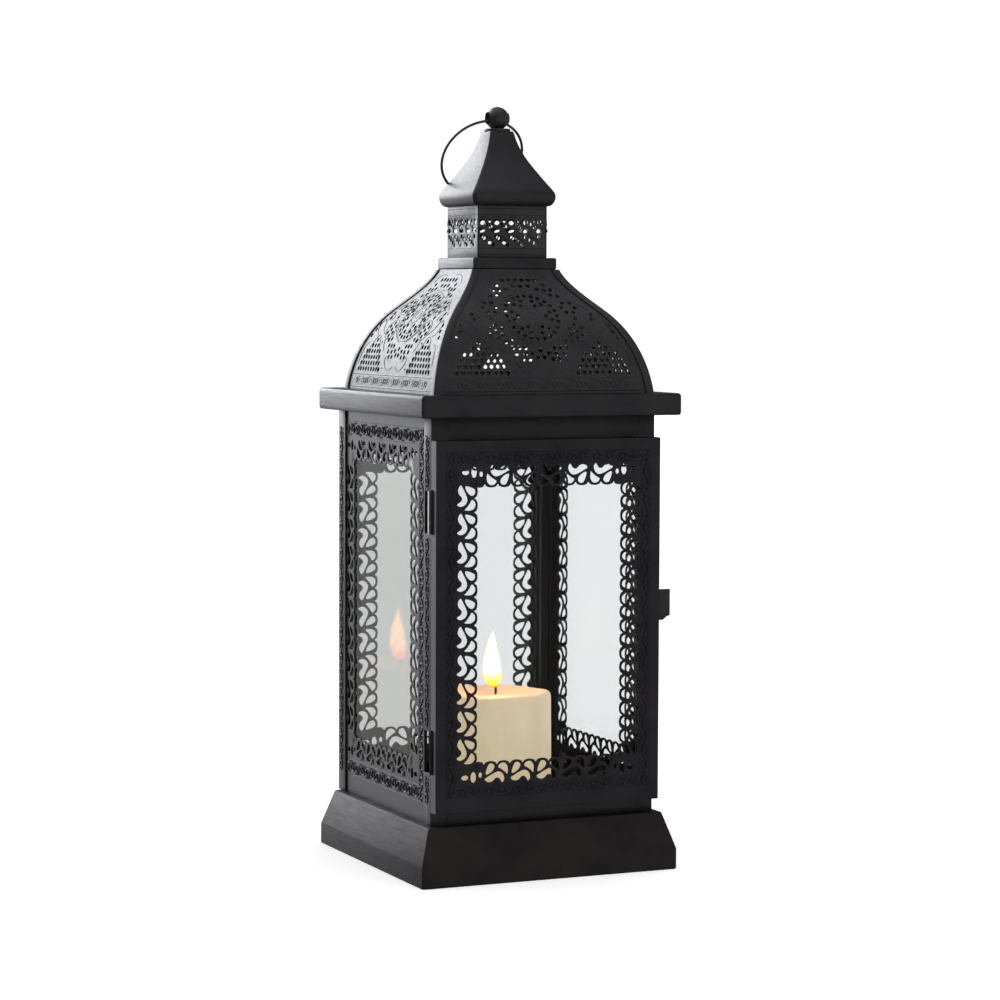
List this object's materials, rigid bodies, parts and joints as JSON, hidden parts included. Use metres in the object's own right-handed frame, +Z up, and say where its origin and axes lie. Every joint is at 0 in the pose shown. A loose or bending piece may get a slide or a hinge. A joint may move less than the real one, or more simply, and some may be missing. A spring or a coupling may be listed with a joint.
{
  "type": "candle lantern",
  "caption": "Square sheet-metal candle lantern with a hinged glazed door, pierced filigree window borders, a perforated domed roof, a capped chimney, a ring handle and a pillar candle.",
  "frame": {"origin": "middle of the square footprint, on the surface the plinth stands on", "axes": "+Z up along the lantern's height; the door faces -Y; the door's hinges are on the -X side"},
  "size_m": [0.1464, 0.1464, 0.4],
  "materials": {
    "black_paint": "satin",
    "clear_glass": "polished",
    "clip_steel": "satin",
    "candle_wax": "matte",
    "wick_cotton": "matte"
  },
  "bodies": {
    "lantern": {"base_plinth": "black_paint", "floor_plate": "black_paint", "corner_post_front_left": "black_paint", "corner_post_front_right": "black_paint", "corner_post_rear_left": "black_paint", "corner_post_rear_right": "black_paint", "front_top_rail": "black_paint", "front_sill": "black_paint", "left_panel": "black_paint", "right_panel": "black_paint", "rear_panel": "black_paint", "left_glass": "clear_glass", "right_glass": "clear_glass", "rear_glass": "clear_glass", "left_glass_clips": "clip_steel", "right_glass_clips": "clip_steel", "rear_glass_clips": "clip_steel", "upper_hinge_post_leaf": "black_paint", "lower_hinge_post_leaf": "black_paint", "upper_hinge_pin": "black_paint", "lower_hinge_pin": "black_paint", "roof_slab": "black_paint", "dome_panel_front": "black_paint", "dome_panel_rear": "black_paint", "dome_panel_left": "black_paint", "dome_panel_right": "black_paint", "dome_rib_front_left": "black_paint", "dome_rib_front_right": "black_paint", "dome_rib_rear_left": "black_paint", "dome_rib_rear_right": "black_paint", "collar": "black_paint", "chimney": "black_paint", "cap": "black_paint", "finial_washer": "black_paint", "finial_ball": "black_paint", "finial_stud": "black_paint", "finial_nut": "black_paint"},
    "door": {"door_panel": "black_paint", "door_glass": "clear_glass", "door_glass_clips": "clip_steel", "latch_clip": "black_paint", "latch_rivets": "black_paint", "upper_hinge_door_leaf": "black_paint", "lower_hinge_door_leaf": "black_paint"},
    "ring_handle": {"ring_handle": "black_paint"},
    "candle": {"candle": "candle_wax", "wick": "wick_cotton"}
  },
  "joints": [
    {"name": "door_swing", "type": "hinge", "parent": "lantern", "child": "door", "pos_m": [-0.0633, -0.063, 0.13], "axis": [0, 0, -1], "range_deg": [0, 120]},
    {"name": "ring_swing", "type": "hinge", "parent": "lantern", "child": "ring_handle", "pos_m": [0, 0, 0.393], "axis": [1, 0, 0], "range_deg": [0, 292]},
    {"name": "candle_lift", "type": "slide", "parent": "lantern", "child": "candle", "axis": [0, 0, 1], "range_m": [0, 0.11]}
  ]
}
